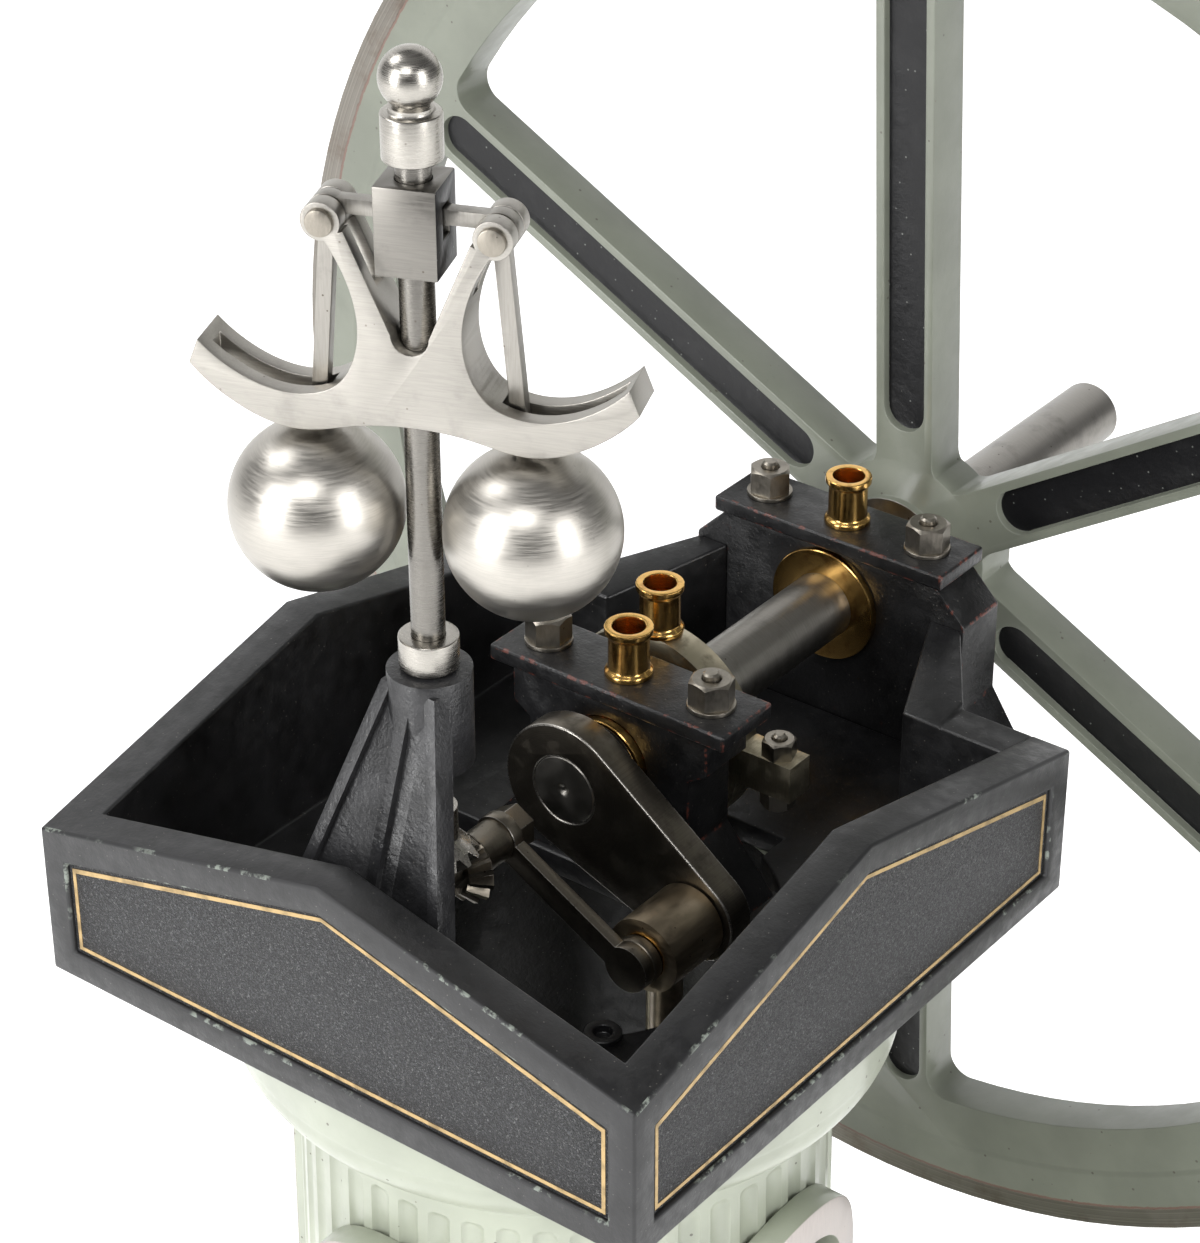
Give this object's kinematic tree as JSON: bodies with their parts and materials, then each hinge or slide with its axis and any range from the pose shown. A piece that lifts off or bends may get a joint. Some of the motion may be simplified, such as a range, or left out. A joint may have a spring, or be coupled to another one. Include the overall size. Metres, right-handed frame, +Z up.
{
  "type": "stationary steam engine, table-top model",
  "caption": "Model column steam engine: fluted column on a plinth, square tray with overhung crank, eccentric and pendulum governor, and a six-spoke flywheel on the shaft.",
  "frame": {"origin": "centre of the underside of the base plate", "axes": "+Y along the crankshaft from the crank towards the flywheel, +Z up, +X to the right seen from the crank side"},
  "size_m": [0.252, 0.221, 0.382],
  "materials": {
    "green_paint": "satin grey-green enamel on castings",
    "black_paint": "satin black enamel on castings, worn to primer at edges",
    "plate_black": "grained black plate with a gilt border line",
    "bright_steel": "turned and brushed bright",
    "oily_steel": "machined, dark with oil",
    "nut_steel": "plain dull steel",
    "brass": "turned bright, oily in the bores",
    "grey_iron": "machined grey iron"
  },
  "bodies": {
    "root": {"base_plate": "green_paint", "bearing_bushes": "brass", "bearing_caps": "black_paint", "cap_nuts": "nut_steel", "cap_oil_cups": "brass", "capital": "green_paint", "column": "green_paint", "column_foot": "green_paint", "crosshead": "oily_steel", "cylinder": "grey_iron", "cylinder_cover": "bright_steel", "governor_post": "black_paint", "guide_bars": "bright_steel", "guide_bracket": "oily_steel", "near_pedestal": "black_paint", "piston_rod": "bright_steel", "plinth": "green_paint", "rear_pedestal": "black_paint", "side_plates": "plate_black", "tray": "black_paint", "valve_chest": "grey_iron", "valve_spindle": "bright_steel", "window_frames": "bright_steel"},
    "crank": {"crankshaft": "bright_steel", "crank_web": "oily_steel", "crank_pin": "oily_steel", "drag_link": "oily_steel", "drive_gear": "oily_steel", "eccentric_sheave": "bright_steel", "flywheel": "green_paint"},
    "connecting_rod": {"connecting_rod": "oily_steel", "big_end_brass": "brass"},
    "eccentric_strap": {"eccentric_strap": "bright_steel", "strap_oil_cup": "brass"},
    "governor": {"governor_spindle": "bright_steel", "governor_finial": "bright_steel", "spindle_collar": "bright_steel", "governor_anchor": "bright_steel", "pivot_pins": "bright_steel", "spindle_gear": "bright_steel"},
    "right_lever": {"right_ball_lever": "bright_steel", "right_ball": "bright_steel"},
    "left_lever": {"left_ball_lever": "bright_steel", "left_ball": "bright_steel"},
    "block": {"sliding_block": "bright_steel"}
  },
  "joints": [
    {"name": "crank_turn", "type": "hinge", "parent": "root", "child": "crank", "pos_m": [0, 0, 0.256], "axis": [0, 1, 0], "continuous": true},
    {"name": "rod_turn", "type": "hinge", "parent": "crank", "child": "connecting_rod", "pos_m": [0.02285, -0.00585, 0.24359], "axis": [0, 1, 0], "continuous": true},
    {"name": "strap_turn", "type": "hinge", "parent": "crank", "child": "eccentric_strap", "pos_m": [-0.00361, 0.0277, 0.25199], "axis": [0, 1, 0], "continuous": true},
    {"name": "governor_turn", "type": "hinge", "parent": "root", "child": "governor", "pos_m": [0, -0.0283, 0.291], "axis": [0, 0, 1], "continuous": true},
    {"name": "right_lever_swing", "type": "hinge", "parent": "governor", "child": "right_lever", "pos_m": [0.01026, -0.02407, 0.3556], "axis": [0.3811, -0.9245, 0], "range_deg": [0, 25]},
    {"name": "left_lever_swing", "type": "hinge", "parent": "governor", "child": "left_lever", "pos_m": [-0.01026, -0.03253, 0.3556], "axis": [-0.3811, 0.9245, 0], "range_deg": [0, 25]},
    {"name": "block_slide", "type": "slide", "parent": "governor", "child": "block", "axis": [0, 0, -1], "range_m": [0, 0.0036]}
  ],
  "couplings": [
    {"joint": "rod_turn", "follows": "crank_turn", "ratio": -1},
    {"joint": "strap_turn", "follows": "crank_turn", "ratio": -1},
    {"joint": "governor_turn", "follows": "crank_turn", "ratio": -1},
    {"joint": "left_lever_swing", "follows": "right_lever_swing", "ratio": 1},
    {"joint": "block_slide", "follows": "right_lever_swing", "m_per_rad": 0.0072}
  ]
}
